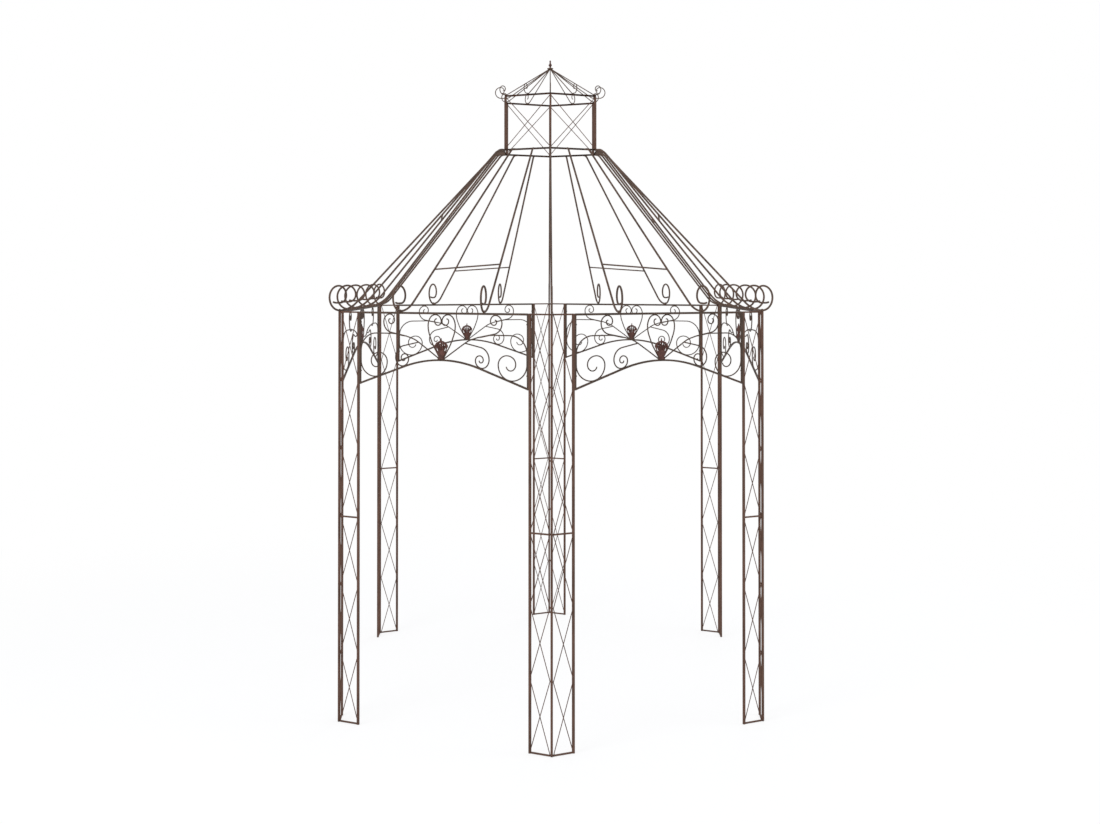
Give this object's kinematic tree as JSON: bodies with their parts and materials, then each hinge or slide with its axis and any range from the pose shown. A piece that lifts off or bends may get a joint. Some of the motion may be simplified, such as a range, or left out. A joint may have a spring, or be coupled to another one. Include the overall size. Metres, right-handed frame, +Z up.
{
  "type": "garden pavilion",
  "caption": "Open iron garden pavilion on a long hexagonal plan, with lattice posts, arched scroll friezes, a curled rafter roof and a small lantern.",
  "frame": {"origin": "on the ground under the finial, at the middle of the plan", "axes": "+Z up, the front post faces -Y, the two long bays run along Y"},
  "size_m": [2.6262, 3.956, 4.0002],
  "materials": {
    "wrought_bars": "antique brown paint, matt, with a faint rust tone",
    "wrought_panels": "antique brown paint, matt, with a faint rust tone",
    "cast_iron_ornament": "cast iron, painted the same brown, rubbed lighter on its high edges"
  },
  "bodies": {
    "root": {"front_post": "wrought_bars", "front_right_post": "wrought_bars", "back_right_post": "wrought_bars", "back_post": "wrought_bars", "back_left_post": "wrought_bars", "front_left_post": "wrought_bars", "front_post_left_lattice": "wrought_panels", "front_right_post_left_lattice": "wrought_panels", "back_right_post_left_lattice": "wrought_panels", "back_post_left_lattice": "wrought_panels", "back_left_post_left_lattice": "wrought_panels", "front_left_post_left_lattice": "wrought_panels", "front_post_right_lattice": "wrought_panels", "front_right_post_right_lattice": "wrought_panels", "back_right_post_right_lattice": "wrought_panels", "back_post_right_lattice": "wrought_panels", "back_left_post_right_lattice": "wrought_panels", "front_left_post_right_lattice": "wrought_panels", "front_right_frieze": "wrought_panels", "right_frieze": "wrought_panels", "back_right_frieze": "wrought_panels", "back_left_frieze": "wrought_panels", "left_frieze": "wrought_panels", "front_left_frieze": "wrought_panels", "front_right_shell": "cast_iron_ornament", "right_shell": "cast_iron_ornament", "back_right_shell": "cast_iron_ornament", "back_left_shell": "cast_iron_ornament", "left_shell": "cast_iron_ornament", "front_left_shell": "cast_iron_ornament", "front_hip_rafter": "wrought_bars", "front_right_hip_rafter": "wrought_bars", "back_right_hip_rafter": "wrought_bars", "back_hip_rafter": "wrought_bars", "back_left_hip_rafter": "wrought_bars", "front_left_hip_rafter": "wrought_bars", "front_right_rafters": "wrought_bars", "back_right_rafters": "wrought_bars", "back_left_rafters": "wrought_bars", "front_left_rafters": "wrought_bars", "right_front_rafters": "wrought_bars", "right_back_rafters": "wrought_bars", "left_front_rafters": "wrought_bars", "left_back_rafters": "wrought_bars", "lantern_base_ring": "wrought_bars", "lantern_frame": "wrought_bars", "lantern_cap": "wrought_bars", "finial": "cast_iron_ornament"}
  },
  "joints": []
}
